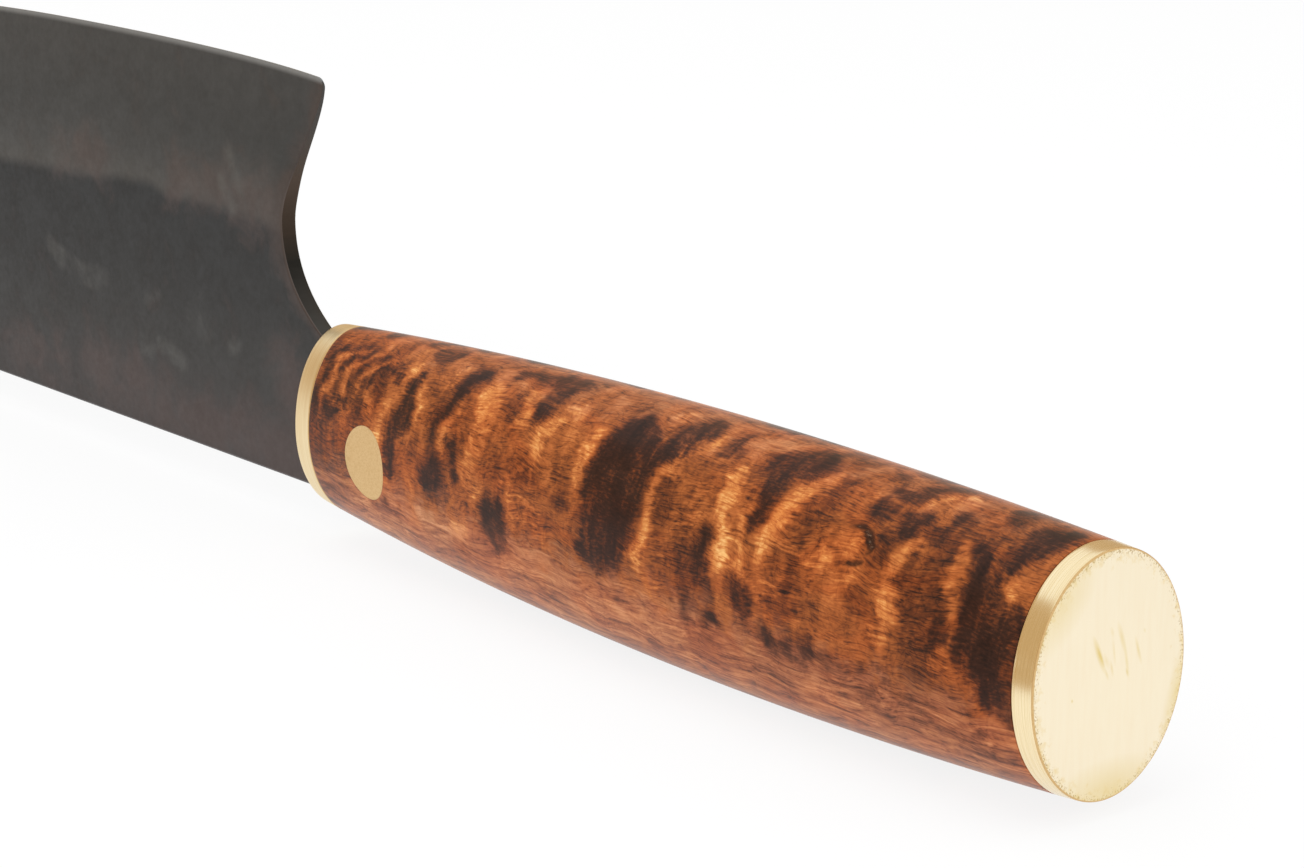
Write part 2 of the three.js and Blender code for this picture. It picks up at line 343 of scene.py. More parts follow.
def filedChoil():
    finish, tree, skin = newFinish("filedCarbonSteelChoilPaintedLight")
    use = choilFinishAndPaintedLight
    place = addNode(tree, "ShaderNodeTexCoord", out="Object")
    height = addNode(tree, "ShaderNodeSeparateXYZ", {"Vector": place}, out="Z")
    marks = addNode(tree, "ShaderNodeMapping", {
        "Vector": place, "Scale": [1 / (mm * use["markSpacing"] * k) for k in (1, use["markStretch"], 1)]})
    marks = addNode(tree, "ShaderNodeTexNoise", {"Vector": marks, "Scale": 1, "Detail": 3})
    rise = addNode(tree, "ShaderNodeMapRange", {
        "Value": height, "From Min": axisHeight + use["neck"] * mm,
        "From Max": axisHeight + use["heel"] * mm})
    rise = addNode(tree, "ShaderNodeMath", {0: marks, 1: use["markDrift"], 2: rise},
                   operation="MULTIPLY_ADD")
    # colour by height: painted highlight under the heel, painted shade in the depth of the hollow
    colour = addNode(tree, "ShaderNodeValToRGB", {"Fac": rise}, stops=use["rise"])
    bump = addNode(tree, "ShaderNodeBump", {
        "Height": marks, "Strength": use["reliefStrength"], "Distance": use["reliefDepth"] * mm})
    setInputs(tree, skin, {
        "Base Color": colour, "Normal": bump, "Metallic": use["metallic"], "Roughness": use["rough"]})
    return finish


# Brass, satin: one alloy in four finishes, so that each takes the light as its own surface does. The rims
# were brushed round the handle, the front one since rubbed duller by the hand, the pin was sanded flush, and
# the butt was lapped flat, with gold pits and stains along its rim and a few scratches. Their colours are
# lit
# and shaded copies: the butt's pale cream is a painted highlight, the sanded brass's deeper gold painted
# shade.
brassFinishes = {
    # colours: the lapped face's pale cream is a painted highlight, the sanded brass's deeper gold is painted
    # shade
    "brushed": {"colour": "#fdecc5", "deep": "#f1d9a6", "rough": 0.22, "lines": (0.08, 9, 9)},
    "rubbed": {"colour": "#f9e5bb", "deep": "#edd3a0", "rough": 0.4, "lines": (0.08, 9, 9)},
    "sandedWithShade": {"colour": "#e0bd86", "deep": "#d7b178", "rough": 0.36, "lines": (0.3, 0.2, 0.2)},
    "lappedWithHighlight": {"colour": "#fcefd3", "deep": "#fbedd0", "rough": 0.34, "lines": (1.5, 0.5, 5)},
}
# what the four share: where the two tones lie on their lines, how far the lines sway roughness, their relief
brassLines = {"tones": (0.3, 0.6), "spread": (0.3, 0.7), "rougher": 0.06, "smoother": 0.04,
              "reliefStrength": 0.12, "reliefDepth": 0.01}
buttWear = {
    # tint, size of its spots in mm, where it starts from the middle of the face to its rim,
    # how much it gathers at the rim, how sparse it is and how soft
    "spots": (("#efd69a", 0.6, 0.74, 0.13, 0.5, 0.3), ("#bfa064", 0.17, 0.84, 0.13, 0.56, 0.12)),
    "spotsInMiddle": -0.3, "spotStrength": 0.8, "scratch": "#e8cf84",
    # across and up from the middle of the face in mm, lean in degrees, half length and half width in mm,
    # strength
    "scratches": [
        (-1.4, 2.1, 24, 2.1, 0.4, 0.9), (-1.2, 1.9, 25, 1.2, 0.16, 0.9), (-0.5, 1.4, 26, 0.9, 0.3, 0.3),
        (-0.4, 0.2, 24, 0.7, 0.2, 0.45), (0.2, 0.6, 16, 0.9, 0.2, 0.45), (0.4, 2, 10, 1.6, 0.2, 0.35),
        (0.1, 3.8, 20, 0.6, 0.25, 0.3), (1.3, 3.1, 20, 1.8, 0.36, 0.5), (2, 0.9, 12, 2, 0.26, 0.45),
        (2.1, -0.1, 20, 0.5, 0.18, 0.65), (3.4, 1.6, 19, 1.6, 0.24, 0.55), (4.1, 3.2, 20, 0.3, 0.14, 0.4),
        (-4.5, -1.3, 20, 0.22, 0.16, 0.8),
        # stains at the rim: upper left, bottom and right
        (-6, 7, -44, 6, 2.6, 0.4), (0.4, -10.2, 90, 8, 3, 0.55), (8.4, -3, -15, 5, 1.2, 0.5),
    ],
}


def satinBrass(name):
    finish, tree, skin = newFinish(name + "SatinBrass")
    use = brassFinishes[name]
    share = brassLines
    place = addNode(tree, "ShaderNodeTexCoord", out="Object")
    lines = addNode(tree, "ShaderNodeMapping", {
        "Vector": place, "Scale": [1 / (mm * s) for s in use["lines"]]})
    lines = addNode(tree, "ShaderNodeTexNoise", {"Vector": lines, "Scale": 1, "Detail": 3, "Roughness": 0.6})
    tones = list(zip(share["tones"], (use["deep"], use["colour"])))
    colour = addNode(tree, "ShaderNodeValToRGB", {"Fac": lines}, stops=tones)
    if name == "lappedWithHighlight":
        colour = wornFace(tree, place, colour)
    first, last = share["spread"]
    rough = addNode(tree, "ShaderNodeMapRange", {
        "Value": lines, "From Min": first, "From Max": last,
        "To Min": use["rough"] + share["rougher"], "To Max": use["rough"] - share["smoother"]})
    bump = addNode(tree, "ShaderNodeBump", {
        "Height": lines, "Strength": share["reliefStrength"], "Distance": share["reliefDepth"] * mm})
    setInputs(tree, skin, {"Base Color": colour, "Roughness": rough, "Normal": bump, "Metallic": 1})
    return finish


def wornFace(tree, place, colour):
    # stains and pits gather towards the rim of the butt, and scratches lie where they are listed
    use = buttWear
    reach = (1, barrelSize("width", buttFace) / 2, barrelSize("rise", buttFace))
    spot = addNode(tree, "ShaderNodeMapping", {
        "Vector": place, "Location": (buttFace, 0, axisHeight), "Scale": reach}, vector_type="TEXTURE")
    out = addNode(tree, "ShaderNodeVectorMath", {0: spot}, out="Value", operation="LENGTH")
    for tint, size, first, atRim, sparse, softness in use["spots"]:
        noise = addNode(tree, "ShaderNodeTexNoise", {"Vector": place, "Scale": 1 / (mm * size), "Detail": 4})
        nearRim = addNode(tree, "ShaderNodeMapRange", {
            "Value": out, "From Min": first, "To Min": use["spotsInMiddle"], "To Max": atRim})
        spotted = addNode(tree, "ShaderNodeMath", {0: noise, 1: nearRim}, operation="ADD")
        spotted = addNode(tree, "ShaderNodeMapRange", {
            "Value": spotted, "From Min": sparse, "From Max": sparse + softness,
            "To Max": use["spotStrength"]})
        colour = addNode(tree, "ShaderNodeMix", {"Factor": spotted, "A": colour, "B": linear(tint)},
                         data_type="RGBA")
    for across, up, lean, halfLength, halfWidth, strength in use["scratches"]:
        spot = addNode(tree, "ShaderNodeMapping", {
            "Vector": place, "Location": (buttFace, across * mm, axisHeight + up * mm),
            "Rotation": (math.radians(lean), 0, 0), "Scale": (1, halfWidth * mm, halfLength * mm)},
            vector_type="TEXTURE")
        off = addNode(tree, "ShaderNodeVectorMath", {0: spot}, out="Value", operation="LENGTH")
        line = addNode(tree, "ShaderNodeMapRange", {
            "Value": off, "From Min": 1, "From Max": 0, "To Max": strength})
        colour = addNode(tree, "ShaderNodeMix", {"Factor": line, "A": colour, "B": linear(use["scratch"])},
                         data_type="RGBA")
    return colour


# Curly birch burl, stabilised, sanded and oiled to a satin. The eye sees gold cross bands made of fine
# fibres, near-black blotches with feathered edges, long wavy red-brown grain towards the spine, a small
# split with crumbs in it and a soft sheen. The figure's main marks are drawn on the unrolled flank, each as
# a path of points (mm along from the front plate, degrees round from mid flank towards the edge,
# half width in mm) and a strength
darkMarks = [
    # front third, round the pin
    ([(4.2, 29, 0.6), (4.2, 17, 0.7)], 0.85), ([(6.6, 21, 0.9), (8.6, 20, 0.9)], 0.9),
    ([(12.9, 26, 0.9), (12.9, 18, 0.9)], 0.85),
    ([(4.6, 34, 0.4), (4.9, 50, 0.4), (6.6, 60, 0.45), (10.5, 66, 0.5)], 0.68),
    ([(7.6, 26, 0.4), (7.8, 46, 0.4), (9.2, 56, 0.45), (12.5, 62, 0.5)], 0.72),
    ([(10.4, 24, 0.4), (10.5, 42, 0.4), (11.8, 52, 0.4), (15, 58, 0.4)], 0.72),
    ([(13.2, 30, 0.4), (13.4, 42, 0.4), (14.6, 49, 0.4), (17.5, 54, 0.4)], 0.68),
    ([(18.5, 58, 0.7), (19, 47, 0.7)], 0.7), ([(15.6, 48, 0.6), (16.3, 34, 0.6)], 0.6),
    ([(22, 47, 1), (22, 31, 1.5), (21, 20, 1.6), (20.4, 2, 1.2)], 0.95),
    ([(31.5, 64, 1.2), (29.7, 49, 0.7), (28.5, 23, 0.5), (28, 18, 0.5)], 0.85),
    ([(28.7, 5, 2)], 0.95), ([(32.6, 21, 0.7), (33, 7, 0.8)], 0.7), ([(40.2, -8, 2.6)], 1.2),
    ([(23.4, 76, 1.8)], 0.6), ([(16.5, -26, 0.4), (21.5, -26, 0.5)], 0.6),
    ([(32.5, -28, 0.6), (38.8, -27, 0.7)], 0.45),
    # before the great blotch
    ([(37.5, 75, 1), (42, 78, 1.2), (46.5, 78, 1)], 0.85), ([(45, 69, 1.3)], 0.8), ([(44.5, 53, 1.1)], 0.75),
    ([(39, 50, 0.9)], 0.5), ([(39, 20, 1.4)], 0.5), ([(43, 24, 0.8)], 0.6),
    ([(50.5, 32, 0.9), (51.5, 14, 1)], 0.55),
    # great blotch and its spur
    ([(58.6, 64, 1.2), (58.9, 54, 2.8), (59.3, 38, 4.6), (59.1, 22, 4.5), (58.4, 10, 3.6)], 1),
    ([(56.3, 0, 1.5), (60.4, 0, 1.5)], 1),
    ([(63.6, 54, 1.2), (66, 62, 2.2), (66.3, 76, 1.8)], 1.2), ([(71.3, 72, 0.9), (71, 65, 0.8)], 0.8),
    # wedge and the spots under it
    ([(81.6, 76, 2.1), (79.3, 66, 2.5), (79, 48, 1.8), (79.3, 38, 0.9), (79.2, 29, 0.5)], 1.2),
    ([(83.5, 73, 0.9)], 0.8),
    ([(73.5, 22, 0.7), (73.2, 13, 0.9), (72.7, 4, 0.5)], 0.85),
    ([(78, 4, 0.8), (79.4, -2, 1.5), (79.6, -8, 0.8)], 0.95),
    ([(71, -12, 1.3)], 0.5), ([(74.4, -18, 1.2)], 0.5), ([(83.1, -14, 1.2)], 0.7),
    ([(85, -14, 0.9), (87.6, -16, 1)], 0.9), ([(90.1, -15, 0.8)], 0.6), ([(95, -18, 0.9)], 0.5),
    ([(99.5, 58, 0.8)], 0.7),
    # cluster of eyes towards the edge
    ([(90.2, 83, 1)], 0.7), ([(92.3, 70, 0.8), (94.6, 72, 1), (95.2, 83, 0.9), (96.7, 95, 0.9)], 0.85),
    ([(92, 60, 0.8), (93.4, 58, 0.8)], 0.7), ([(95.6, 60, 0.9), (96.6, 51, 0.9)], 0.85),
    ([(97.4, 64, 0.9)], 0.8),
    ([(100.7, 68, 0.6)], 0.6), ([(105.4, 82, 0.8), (104.6, 95, 0.8)], 0.7),
    # by the end plate
    ([(108.4, 58, 1.5), (110, 72, 2.2), (110.5, 87, 1.8)], 0.95), ([(109.1, 52, 1)], 0.9),
    ([(111.5, 30, 1.4), (111.8, -8, 1.4)], 0.7),
    ([(105, 55, 1), (107, 44, 2), (107.6, 32, 2.2), (109, 21, 3), (109.7, 9, 2.6), (110.2, -4, 1.6)], 0.95),
    ([(106.4, 19, 0.9), (106, 9, 0.9)], 0.9), ([(104, 19, 0.7), (103.9, 11, 0.7)], 0.6),
    # small knots
    ([(94.8, 44, 0.9), (95, 37, 0.7)], 0.75), ([(72.7, 63, 0.4)], 1),
]
splitMarks = [
    # crescent round the eye and the short split under it
    ([(89.8, 47, 0.12), (91.4, 48.5, 0.24), (92.9, 46.5, 0.5), (93.4, 42, 0.38), (93.4, 38, 0.12)], 1),
    ([(93.5, 34, 0.12), (93, 30.5, 0.24), (92, 26, 0.22)], 1),
]
brownMarks = [
    # broad fields between the gold lines
    ([(4, 8, 3.6), (7.5, -6, 4.4), (7, -18, 4.2), (3.5, -36, 4)], 1.3), ([(8, 50, 3), (14, 40, 3.5)], 0.45),
    ([(69, 44, 2.2), (68.5, 12, 2.8)], 0.7), ([(87, 42, 3), (87, 12, 3)], 0.36), ([(95, 11, 1.6)], 0.45),
    ([(101.5, 55, 1.8), (102, 30, 3), (101.5, 0, 3), (102.5, -20, 2)], 0.42),
    ([(72, -22, 1.8), (84, -26, 2)], 0.6), ([(92, -20, 1.6), (108, -27, 1.8)], 0.6),
]
goldMarks = [
    # front third
    ([(14.3, 36, 0.5), (15.7, 27, 0.6)], 0.7),
    ([(20.5, 58, 0.4), (21.3, 52, 0.45), (23.2, 48, 0.5), (24.7, 38, 0.5), (24, 31, 0.4)], 0.85),
    ([(5.5, 31, 0.3), (5.4, 14, 0.3)], 0.7),
    ([(6.2, 30, 0.3), (6.4, 48, 0.3), (8, 58, 0.3), (11.5, 64, 0.3)], 0.7),
    ([(9, 26, 0.3), (9.2, 44, 0.3), (10.6, 54, 0.3), (14, 60, 0.3)], 0.7),
    ([(11.8, 28, 0.3), (12, 42, 0.3), (13.4, 50, 0.35), (16.5, 56, 0.35)], 0.7),
    ([(18.3, 28, 0.5), (17.7, 17, 0.5)], 0.6), ([(31, 43, 0.6), (29.9, 28, 0.7), (29.8, 16, 0.9)], 0.75),
    ([(35, 56, 1.5), (36.7, 40, 2)], 1), ([(36, 25, 1.6), (35.5, 13, 1.5), (37.8, 12, 1.2)], 0.6),
    ([(28.7, 63, 0.5), (27.9, 55, 0.5)], 0.6), ([(30.6, -21, 0.7), (35, -19, 0.6)], 0.6),
    # before the great blotch
    ([(41.6, 60, 0.9), (42, 45, 1)], 0.75), ([(47.3, 50, 0.8), (45.3, 39, 1), (45.5, 26, 0.9)], 0.75),
    ([(48.3, 62, 0.9), (47.4, 56, 0.7)], 0.6), ([(42, 9, 1.1), (47, 5, 1.3)], 0.5),
    ([(53.8, 52, 0.5), (53.1, 40, 0.7), (53.6, 28, 0.6)], 0.7), ([(61.6, 68, 0.8), (62.3, 76, 0.8)], 0.6),
    # line behind the great blotch and the stripes after it
    ([(68.8, 70, 0.5), (68.3, 60, 0.8), (65.8, 49, 0.7), (64.7, 43, 0.6), (64.6, 30, 0.6), (64.8, 12, 0.6),
      (64.2, 2, 0.8)], 1),
    ([(56.5, 38.5, 0.1), (60, 36, 0.15), (63.8, 34.5, 0.12)], 0.9), ([(66.5, 0, 1)], 0.5),
    ([(71, 29, 1.2)], 0.5),
    ([(74.2, 54, 0.8), (74.6, 44, 1), (74.6, 37, 0.9)], 1),
    ([(74.8, 28, 0.9), (75.3, 18, 1.1), (75.5, 8, 0.9)], 0.95),
    ([(77.4, 46, 0.5), (78.2, 33, 0.6), (78.6, 21, 0.5), (78.4, 11, 0.4)], 0.7),
    ([(85.2, 66, 0.8), (82.4, 48, 1.1), (81.6, 37, 1.1), (81.4, 26, 1)], 0.9),
    # round the eye and on to the end plate
    ([(69, 27, 0.1), (89.6, 27.5, 0.2)], 0.8), ([(82, 4, 1.3), (86, 5, 1.3)], 0.5),
    ([(92.1, 26, 1.2)], 0.55),
    ([(91.5, 65, 0.5), (92.8, 64, 0.5)], 0.7), ([(95.4, 66, 0.4), (96.9, 77, 0.5), (98.6, 87, 0.5)], 0.7),
    ([(91.9, 40, 0.8), (91.8, 33, 0.8)], 0.8), ([(98.2, 47, 0.8), (97.6, 39, 0.9), (96.4, 33, 1)], 0.8),
    ([(97, 24, 0.8), (98, 16, 0.9)], 0.66), ([(103.6, 54, 0.8), (103.3, 40, 0.9)], 0.75),
    ([(105.3, 30, 0.6), (105.3, 22, 0.6)], 0.8), ([(109.8, 50, 0.3), (110.5, 40, 0.35)], 0.7),
    ([(96.8, 5, 1.1)], 0.6), ([(104.4, 2, 0.9)], 0.7), ([(92, -18, 1)], 0.45),
]
burlFinish = {
    "flank": [(0.0, "#231611"), (0.18, "#3a2218"), (0.34, "#66351b"), (0.5, "#924f24"), (0.64, "#ae6230"),
              (0.8, "#cb8243"), (1.0, "#e8b672")],
    "long": [(0.0, "#2f1c14"), (0.25, "#673a25"), (0.45, "#98593a"), (0.6, "#b16f47"), (0.8, "#c98a5e"),
             (1.0, "#d99a6e")],
    "red": "#ffeee2", "ruddySpread": (-0.08, 0.14), "split": "#24170f", "crumbs": "#85705d",
    "noises": {  # length along the handle and girth round it, both in mm, then detail and distortion
        "bands": (6, 20, 3, 0.4), "ripple": (1.6, 7, 3, 0.5), "mottle": (2.6, 2.6, 5, 0.6),
        "streaks": (11, 1, 4, 1.5), "fibres": (7, 0.34, 3, 0.3), "pores": (3, 0.14, 1, 0.1),
        "specks": (0.6, 0.25, 3, 0), "curls": (5, 3, 2, 2.2), "ruddy": (9, 5, 3, 0.8),
    },
    "bendLength": 9, "bendGirth": 6, "bend": 2.8,
    # mm by which noises fray the drawn mark, depths in mm where it starts and is full, its strength
    "marks": {
        "dark": ({"fibres": 2.8, "mottle": 2.8}, (-0.9, 0.9), 1),
        "gold": ({"fibres": 2.0, "mottle": 1.1}, (-0.6, 0.6), 1),
        "brown": ({"mottle": 2.5}, (-1.8, 1.8), -0.2),
        "split": ({"specks": 0.5}, (-0.22, 0.12), 0.85),
    },
    "tones": {  # where each tone starts, and how far marks and noises sway it
        "flank": (0.52, {"gold": 0.25, "bands": 0.65, "ripple": 0.34, "mottle": 0.6, "fibres": 0.3,
                         "specks": 0.36, "poreLines": -0.16, "curlLines": -0.08}),
        "long": (0.6, {"gold": 0.25, "streaks": 1.1, "mottle": 0.6, "fibres": 0.4, "specks": 0.25,
                       "poreLines": -0.16, "curlLines": -0.08}),
    },
    # how much of the tone the dark marks swallow, and how far noises sway that
    "swallowed": (0.7, {"ripple": -1.0, "specks": -0.6}),
    "poreSpread": (0.02, 0.2), "curlWidth": 0.035,
    # long grain, frayed in mm, and mm above the axis where it starts and is full, and its strength there
    "longFray": 8.0, "longGrain": [(-0.5, -5.0, 1), (10.5, 13.5, 0.5)],
    "crumbSpread": (0.02, 0.14), "crumbDepth": (0.1, 0.35),
    "roughSpread": (-0.2, 0.2), "rough": (0.36, 0.46), "reliefStrength": 0.15, "reliefDepth": 0.02,
    "specular": 0.1, "sheen": 0.35, "sheenRough": 0.25,
    # how the outlines of marks wander, along and round: mm, then waves round the handle and along it
    "alongWander": [(0.3, 1.1, 0.5), (0.12, 2.7, -1.1)], "girthWander": [(0.4, 0.7, 0.7), (0.2, 0, 1.9)],
    # the far flank has the marks turned end for end about the middle of this length
    "turnAbout": 116, "girthPerDegree": 0.19,
}


def drawFigure(piece, name, marks):
    # stores the drawn figure on the handle
    use = burlFinish
    x, across, up = vertexPlaces(piece)
    up = (up - axisHeight) / np.where(up > axisHeight, barrelSize("rise", x), barrelSize("drop", x))
    across = across / (barrelSize("width", x) / 2)
    along = (x - plateFace) / mm
    flanks = []
    for flank, run in ((-1, along), (1, use["turnAbout"] - along)):
        girth = np.degrees(np.arctan2(up, flank * across)) * use["girthPerDegree"]
        bent = run
        for sway, girthWaves, runWaves in use["alongWander"]:
            bent = bent + sway * np.sin(girthWaves * girth + runWaves * run)
        lifted = girth
        for sway, girthWaves, runWaves in use["girthWander"]:
            lifted = lifted + sway * np.sin(girthWaves * girth + runWaves * run)
        flanks.append(depthInMarks(bent, lifted, marks, use["girthPerDegree"]))
    storeOnVertices(piece, name, np.maximum(*flanks))


def oiledBurl():
    finish, tree, skin = newFinish("oiledCurlyBirchBurl")
    use = burlFinish
    place = addNode(tree, "ShaderNodeTexCoord", out="Object")
    inMm = addNode(tree, "ShaderNodeMapping", {
        "Vector": place, "Scale": (1000, 1000, 1000), "Location": (-plateFace / mm, 0, -axisHeight / mm)})
    up = addNode(tree, "ShaderNodeSeparateXYZ", {"Vector": inMm}, out="Z")
    # the grain wanders sideways on its way along the handle
    bends = addNode(tree, "ShaderNodeMapping", {
        "Vector": inMm, "Scale": (1 / use["bendLength"], 1 / use["bendGirth"], 1 / use["bendGirth"])})
    bends = addNode(tree, "ShaderNodeTexNoise", {"Vector": bends, "Scale": 1, "Detail": 2}, out="Color")
    bent = addNode(tree, "ShaderNodeVectorMath", {0: bends, 1: (0, use["bend"], use["bend"]), 2: inMm},
                   operation="MULTIPLY_ADD")
    noises = {}
    for name, (length, girth, detail, distortion) in use["noises"].items():
        scaled = addNode(tree, "ShaderNodeMapping", {
            "Vector": bent, "Scale": (1 / length, 1 / girth, 1 / girth)})
        noise = addNode(tree, "ShaderNodeTexNoise", {
            "Vector": scaled, "Scale": 1, "Detail": detail, "Distortion": distortion})
        noises[name] = addNode(tree, "ShaderNodeMath", {0: noise, 1: 0.5}, operation="SUBTRACT")
    # marks fray along fibres, mottling and specks
    drawn = {}
    figure = {}
    for name, (frays, (first, last), most) in use["marks"].items():
        drawn[name] = addNode(tree, "ShaderNodeAttribute", out="Fac", attribute_name=name + "Figure")
        frayed = drawn[name]
        for part, reach in frays.items():
            frayed = addNode(tree, "ShaderNodeMath", {0: noises[part], 1: reach, 2: frayed},
                             operation="MULTIPLY_ADD")
        figure[name] = addNode(tree, "ShaderNodeMapRange", {
            "Value": frayed, "From Min": first, "From Max": last, "To Max": most},
            interpolation_type="SMOOTHSTEP")
    # the dark marks are uneven inside, and thin dark curls wind through the rest
    uneven, sways = use["swallowed"]
    for part, weight in sways.items():
        uneven = addNode(tree, "ShaderNodeMath", {0: noises[part], 1: weight, 2: uneven},
                         operation="MULTIPLY_ADD")
    swallowed = addNode(tree, "ShaderNodeMath", {0: figure["dark"], 1: uneven}, operation="MULTIPLY")
    keep = addNode(tree, "ShaderNodeMath", {0: 1.0, 1: swallowed}, operation="SUBTRACT")
    curl = addNode(tree, "ShaderNodeMath", {0: noises["curls"]}, operation="ABSOLUTE")
    curl = addNode(tree, "ShaderNodeMapRange", {
        "Value": curl, "From Min": use["curlWidth"], "From Max": 0.0})
    first, last = use["poreSpread"]
    pores = addNode(tree, "ShaderNodeMapRange", {
        "Value": noises["pores"], "From Min": first, "From Max": last})
    # tone of the flank: bands and ripples across, fibres and specks along; long streaks near the spine
    swayers = {**noises, "gold": figure["gold"], "poreLines": pores, "curlLines": curl}
    tones = {}
    for name, (tone, weights) in use["tones"].items():
        for part, weight in weights.items():
            tone = addNode(tree, "ShaderNodeMath", {0: swayers[part], 1: weight, 2: tone},
                           operation="MULTIPLY_ADD")
        tone = addNode(tree, "ShaderNodeMath", {0: tone, 1: figure["brown"]}, operation="ADD")
        tone = addNode(tree, "ShaderNodeMath", {0: tone, 1: keep}, operation="MULTIPLY")
        tones[name] = addNode(tree, "ShaderNodeValToRGB", {"Fac": tone}, stops=use[name])
    ragged = addNode(tree, "ShaderNodeMath", {0: noises["mottle"], 1: use["longFray"], 2: up},
                     operation="MULTIPLY_ADD")
    longAt = {}
    for end, (first, last, most) in enumerate(use["longGrain"]):
        longAt[end] = addNode(tree, "ShaderNodeMapRange", {
            "Value": ragged, "From Min": first, "From Max": last, "To Max": most},
            interpolation_type="SMOOTHSTEP")
    longGrain = addNode(tree, "ShaderNodeMath", longAt, operation="MAXIMUM")
    colour = addNode(tree, "ShaderNodeMix", {"Factor": longGrain, "A": tones["flank"], "B": tones["long"]},
                     data_type="RGBA")
    first, last = use["ruddySpread"]
    ruddy = addNode(tree, "ShaderNodeMapRange", {
        "Value": noises["ruddy"], "From Min": first, "From Max": last})
    colour = addNode(tree, "ShaderNodeMix", {"Factor": ruddy, "A": colour, "B": linear(use["red"])},
                     data_type="RGBA", blend_type="MULTIPLY")
    # the split is dark and holds pale crumbs where it is wide
    first, last = use["crumbSpread"]
    crumbs = addNode(tree, "ShaderNodeMapRange", {
        "Value": noises["specks"], "From Min": first, "From Max": last})
    first, last = use["crumbDepth"]
    wide = addNode(tree, "ShaderNodeMapRange", {
        "Value": drawn["split"], "From Min": first, "From Max": last})
    crumbs = addNode(tree, "ShaderNodeMath", {0: crumbs, 1: wide}, operation="MULTIPLY")
    filling = addNode(tree, "ShaderNodeMix", {
        "Factor": crumbs, "A": linear(use["split"]), "B": linear(use["crumbs"])}, data_type="RGBA")
    colour = addNode(tree, "ShaderNodeMix", {"Factor": figure["split"], "A": colour, "B": filling},
                     data_type="RGBA")
    first, last = use["roughSpread"]
    smooth, dull = use["rough"]
    rough = addNode(tree, "ShaderNodeMapRange", {
        "Value": noises["mottle"], "From Min": first, "From Max": last, "To Min": smooth, "To Max": dull})
    bump = addNode(tree, "ShaderNodeBump", {
        "Height": noises["pores"], "Strength": use["reliefStrength"], "Distance": use["reliefDepth"] * mm})
    # a thin film of oil shows as a pale sheen where the surface turns away
    setInputs(tree, skin, {
        "Base Color": colour, "Roughness": rough, "Normal": bump, "Specular IOR Level": use["specular"],
        "Sheen Weight": use["sheen"], "Sheen Roughness": use["sheenRough"]})
    return finish


# Amber epoxy that beds the tang, poured and cured: a honey colour with faint clouding
resinFinish = {"colour": "#c9a468", "cloud": "#b98a4a", "tones": (0.35, 0.65), "cloudSize": 6, "rough": 0.2}


def amberResin():
    finish, tree, skin = newFinish("curedAmberEpoxy")
    use = resinFinish
    place = addNode(tree, "ShaderNodeTexCoord", out="Object")
    clouds = addNode(tree, "ShaderNodeTexNoise", {
        "Vector": place, "Scale": 1 / (mm * use["cloudSize"]), "Detail": 3})
    tones = list(zip(use["tones"], (use["cloud"], use["colour"])))
    colour = addNode(tree, "ShaderNodeValToRGB", {"Fac": clouds}, stops=tones)
    setInputs(tree, skin, {"Base Color": colour, "Roughness": use["rough"]})
    return finish


def ovalBarrel(startX, endX, rings, edgeBreak):
    shape = bmesh.new()
    bmesh.ops.create_cone(shape, cap_ends=True, segments=handleBarrel["sides"], radius1=1, radius2=1,
                          depth=1)
    bmesh.ops.rotate(shape, verts=shape.verts, matrix=Matrix.Rotation(math.pi / 2, 3, "Y"))
    lengthwise = [e for e in shape.edges if abs(e.verts[0].co.x - e.verts[1].co.x) > 0.5]
    bmesh.ops.subdivide_edges(shape, edges=lengthwise, cuts=rings, use_grid_fill=True)
    for vert in shape.verts:
        x = startX + (vert.co.x + 0.5) * (endX - startX)
        reach = barrelSize("rise" if vert.co.z > 0 else "drop", x)
        vert.co = (x, vert.co.y * barrelSize("width", x) / 2, axisHeight + vert.co.z * reach)
    caps = [f for f in shape.faces if len(f.verts) > 4]
    rims = {e for f in caps for e in f.edges}
    bmesh.ops.bevel(shape, geom=list(rims), offset=edgeBreak, segments=3, profile=0.5,
                    affect="EDGES", material=-1)
    for face in shape.faces:
        face.smooth = len(face.verts) == 4
    return shape


def farSide(shape):
    # a second skin behind the first with walls between; gives back its vertices
    grown = bmesh.ops.extrude_face_region(
        shape, geom=shape.faces[:] + shape.edges[:], use_keep_orig=True)["geom"]
    return [v for v in grown if isinstance(v, bmesh.types.BMVert)]


# Handle block, with holes that run a little past the wood
woodShape = {"rings": 210, "edgeBreak": 0.06, "clearance": 0.02, "holePast": 4, "slotPast": 1,
             "dowelSides": 48}
barrel = ovalBarrel(woodStart, woodEnd, woodShape["rings"], woodShape["edgeBreak"] * mm)
block = finishPiece("burlHandle", barrel, [oiledBurl()], "handle_block")
loose = woodShape["clearance"] * mm
pinRadius = (pinHigh.x - pinLow.x) / 2
pinReach = Vector((0, pinHigh.y, 0))
past = Vector((0, woodShape["holePast"] * mm, 0))
holes = bmesh.new()
addRod(holes, pinCentre - past - pinReach, pinCentre + past + pinReach, pinRadius + loose)
cutAway(block, holes)
beddingLow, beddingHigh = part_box("tang_bedding")
room = Vector((loose, loose, loose))
holes = bmesh.new()
addBox(holes, beddingLow - room - Vector((woodShape["slotPast"] * mm, 0, 0)), beddingHigh + room)
cutAway(block, holes)


def dowelHoles(clearance):
    holes = bmesh.new()
    for node in ("end_plate_dowel_upper", "end_plate_dowel_lower"):
        low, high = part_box(node)
        middle = (low + high) / 2
        radius = (high.z - low.z) / 2 + clearance
        addRod(holes, Vector((low.x - clearance, middle.y, middle.z)),
               Vector((high.x + clearance, middle.y, middle.z)), radius, woodShape["dowelSides"])
    return holes


cutAway(block, dowelHoles(loose))
for name, marks in (("dark", darkMarks), ("gold", goldMarks), ("brown", brownMarks), ("split", splitMarks)):
    drawFigure(block, name + "Figure", marks)
print("handle block cut for pin, tang and dowels:", len(block.data.polygons), "faces")

